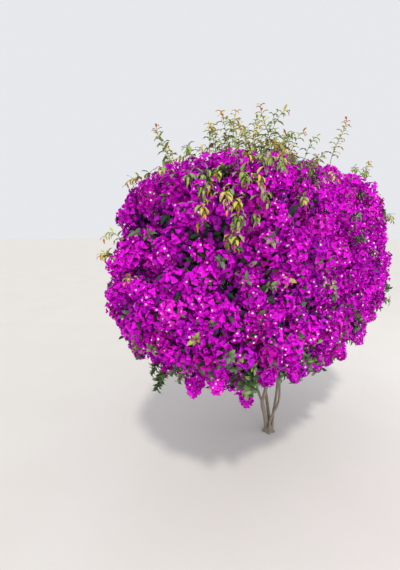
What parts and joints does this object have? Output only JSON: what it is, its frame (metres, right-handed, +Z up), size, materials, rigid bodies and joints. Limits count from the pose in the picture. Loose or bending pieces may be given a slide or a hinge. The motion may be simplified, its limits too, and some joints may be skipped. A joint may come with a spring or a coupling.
{
  "type": "bougainvillea bush",
  "caption": "Flowering garden shrub: bare woody stems from one foot carry a long, dense crown of magenta bracts with leafy canes above it.",
  "frame": {"origin": "middle of the flat cut at ground level under the stems' common foot", "axes": "+X along the hedge row the bush stands in, -Y towards its front face, +Z up"},
  "size_m": [2.4249, 1.2615, 2.3471],
  "materials": {
    "bark": "grey-brown bark",
    "blossom": "matte papery bracts",
    "leaf": "satin leaves"
  },
  "bodies": {
    "root": {"root_crown": "bark", "stem_1": "bark", "stem_2": "bark", "stem_3": "bark", "stem_4": "bark", "stem_5": "bark", "bough_1": "bark", "bough_2": "bark", "bough_3": "bark", "bough_4": "bark", "bough_5": "bark", "bough_6": "bark", "bough_7": "bark", "bough_8": "bark", "bough_9": "bark", "bough_10": "bark", "bough_11": "bark", "cane_1": "bark", "cane_2": "bark", "cane_3": "bark", "cane_4": "bark", "cane_5": "bark", "blossom_mass_1": "blossom", "blossom_mass_2": "blossom", "blossom_mass_3": "blossom", "blossom_mass_4": "blossom", "blossom_mass_5": "blossom", "blossom_mass_6": "blossom", "blossom_mass_7": "blossom", "blossom_mass_8": "blossom", "blossom_mass_9": "blossom", "blossom_mass_10": "blossom", "blossom_mass_11": "blossom", "blossom_mass_12": "blossom", "blossom_mass_13": "blossom", "blossom_mass_14": "blossom", "blossom_mass_15": "blossom", "blossom_mass_16": "blossom", "leafy_shoot_1": "leaf", "leafy_shoot_2": "leaf", "leafy_shoot_3": "leaf", "leafy_shoot_4": "leaf", "leafy_shoot_5": "leaf"}
  },
  "joints": []
}
